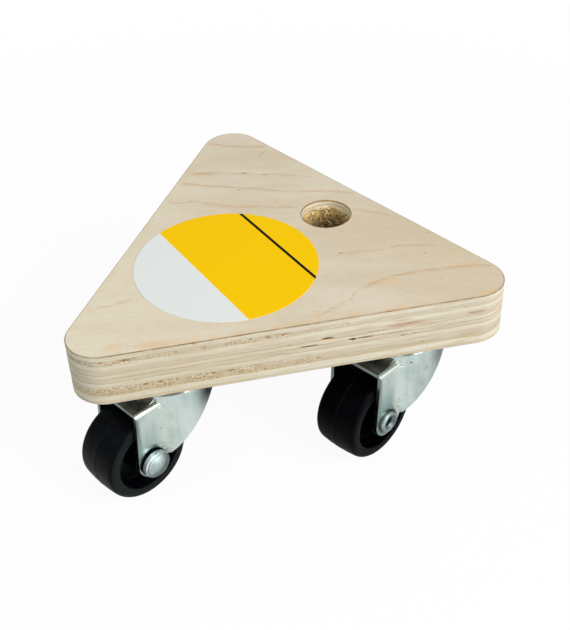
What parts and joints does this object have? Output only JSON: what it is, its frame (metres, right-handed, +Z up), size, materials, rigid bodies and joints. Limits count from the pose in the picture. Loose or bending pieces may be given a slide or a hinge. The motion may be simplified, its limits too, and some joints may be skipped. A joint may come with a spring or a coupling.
{
  "type": "triangular furniture dolly",
  "caption": "Triangular plywood board on swivel casters, with a round grip hole, for rolling furniture and plant pots about.",
  "frame": {"origin": "on the floor, under the middle of the dolly's box", "axes": "+X along the deck's front side, +Y towards its rear corner, +Z up"},
  "size_m": [0.1314, 0.118, 0.0618],
  "materials": {
    "birch_plywood": "bare sanded birch plywood, laminated edge showing",
    "label_film": "printed self-adhesive film, satin",
    "zinc_plated_sheet": "bright zinc plate on stamped sheet",
    "zinc_plated_fasteners": "bright zinc plate",
    "bearing_steel": "polished bearing steel under grease",
    "black_plastic": "moulded polypropylene, satin"
  },
  "bodies": {
    "deck": {"plywood_deck": "birch_plywood", "round_label": "label_film", "front_left_mounting_plate": "zinc_plated_sheet", "front_left_plate_screws": "zinc_plated_fasteners", "front_left_kingpin": "zinc_plated_fasteners", "front_left_swivel_cup": "zinc_plated_sheet", "front_right_mounting_plate": "zinc_plated_sheet", "front_right_plate_screws": "zinc_plated_fasteners", "front_right_kingpin": "zinc_plated_fasteners", "front_right_swivel_cup": "zinc_plated_sheet", "rear_mounting_plate": "zinc_plated_sheet", "rear_plate_screws": "zinc_plated_fasteners", "rear_kingpin": "zinc_plated_fasteners", "rear_swivel_cup": "zinc_plated_sheet"},
    "front_left_fork": {"front_left_fork": "zinc_plated_sheet", "front_left_axle_rivet": "zinc_plated_fasteners"},
    "front_left_wheel": {"front_left_wheel": "black_plastic"},
    "front_left_balls": {"front_left_upper_balls": "bearing_steel", "front_left_lower_balls": "bearing_steel"},
    "front_right_fork": {"front_right_fork": "zinc_plated_sheet", "front_right_axle_rivet": "zinc_plated_fasteners"},
    "front_right_wheel": {"front_right_wheel": "black_plastic"},
    "front_right_balls": {"front_right_upper_balls": "bearing_steel", "front_right_lower_balls": "bearing_steel"},
    "rear_fork": {"rear_fork": "zinc_plated_sheet", "rear_axle_rivet": "zinc_plated_fasteners"},
    "rear_wheel": {"rear_wheel": "black_plastic"},
    "rear_balls": {"rear_upper_balls": "bearing_steel", "rear_lower_balls": "bearing_steel"}
  },
  "joints": [
    {"name": "front_left_swivel", "type": "hinge", "parent": "deck", "child": "front_left_fork", "pos_m": [-0.03546, -0.03545, 0.039], "axis": [0, 0, 1], "continuous": true},
    {"name": "front_left_wheel_roll", "type": "hinge", "parent": "front_left_fork", "child": "front_left_wheel", "pos_m": [-0.04973, -0.04431, 0.0151], "axis": [0.527, -0.8499, 0], "continuous": true},
    {"name": "front_left_ball_orbit", "type": "hinge", "parent": "deck", "child": "front_left_balls", "pos_m": [-0.03546, -0.03545, 0.039], "axis": [0, 0, 1], "continuous": true},
    {"name": "front_right_swivel", "type": "hinge", "parent": "deck", "child": "front_right_fork", "pos_m": [0.03772, -0.0353, 0.039], "axis": [0, 0, 1], "continuous": true},
    {"name": "front_right_wheel_roll", "type": "hinge", "parent": "front_right_fork", "child": "front_right_wheel", "pos_m": [0.02387, -0.04482, 0.0151], "axis": [0.5664, -0.8241, 0], "continuous": true},
    {"name": "front_right_ball_orbit", "type": "hinge", "parent": "deck", "child": "front_right_balls", "pos_m": [0.03772, -0.0353, 0.039], "axis": [0, 0, 1], "continuous": true},
    {"name": "rear_swivel", "type": "hinge", "parent": "deck", "child": "rear_fork", "pos_m": [0.00074, 0.02755, 0.039], "axis": [0, 0, 1], "continuous": true},
    {"name": "rear_wheel_roll", "type": "hinge", "parent": "rear_fork", "child": "rear_wheel", "pos_m": [-0.01335, 0.0184, 0.0151], "axis": [0.5446, -0.8387, 0], "continuous": true},
    {"name": "rear_ball_orbit", "type": "hinge", "parent": "deck", "child": "rear_balls", "pos_m": [0.00074, 0.02755, 0.039], "axis": [0, 0, 1], "continuous": true}
  ],
  "couplings": [
    {"joint": "front_left_ball_orbit", "follows": "front_left_swivel", "ratio": 0.5},
    {"joint": "front_right_ball_orbit", "follows": "front_right_swivel", "ratio": 0.5},
    {"joint": "rear_ball_orbit", "follows": "rear_swivel", "ratio": 0.5}
  ]
}
